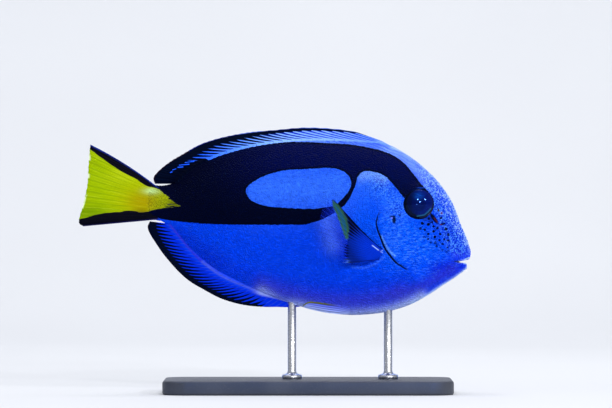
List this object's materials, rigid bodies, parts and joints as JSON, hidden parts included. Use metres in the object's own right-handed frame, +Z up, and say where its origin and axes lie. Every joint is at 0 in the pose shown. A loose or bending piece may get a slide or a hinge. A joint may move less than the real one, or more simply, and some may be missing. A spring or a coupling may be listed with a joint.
{
  "type": "regal blue tang model",
  "caption": "Life-size regal blue tang in a gentle nose-down swimming pose, held over a flat base by slim rods.",
  "frame": {"origin": "on the surface that the base stands on, under the middle of the model's box", "axes": "+X towards the snout, +Y towards the fish's left side, +Z up"},
  "size_m": [0.1406, 0.056, 0.0956],
  "materials": {
    "skin_blue": "royal blue scaled skin, satin, with black bands",
    "skin_black": "blue-black scaled skin, satin",
    "fin_blue": "blue fin membrane with dark streaks between fine rays, satin",
    "fin_yellow": "yellow fin membrane between fine rays, satin",
    "eye": "high gloss, black pupil in a dark blue iris",
    "spine": "smooth pale bone",
    "base": "fine textured charcoal paint",
    "rod": "brushed"
  },
  "bodies": {
    "root": {"head": "skin_blue", "gill_cover_right": "skin_blue", "gill_cover_left": "skin_blue", "lower_jaw": "skin_blue", "trunk": "skin_blue", "tail_stalk": "skin_black", "dorsal_fin": "fin_blue", "anal_fin": "fin_blue", "caudal_fin": "fin_yellow", "pectoral_fin_right": "fin_blue", "pectoral_fin_left": "fin_blue", "pelvic_fin_right": "fin_blue", "pelvic_fin_left": "fin_blue", "eye_right": "eye", "eye_left": "eye", "caudal_spine_right": "spine", "caudal_spine_left": "spine", "stand_base": "base", "stand_rod_front": "rod", "stand_rod_rear": "rod"}
  },
  "joints": []
}
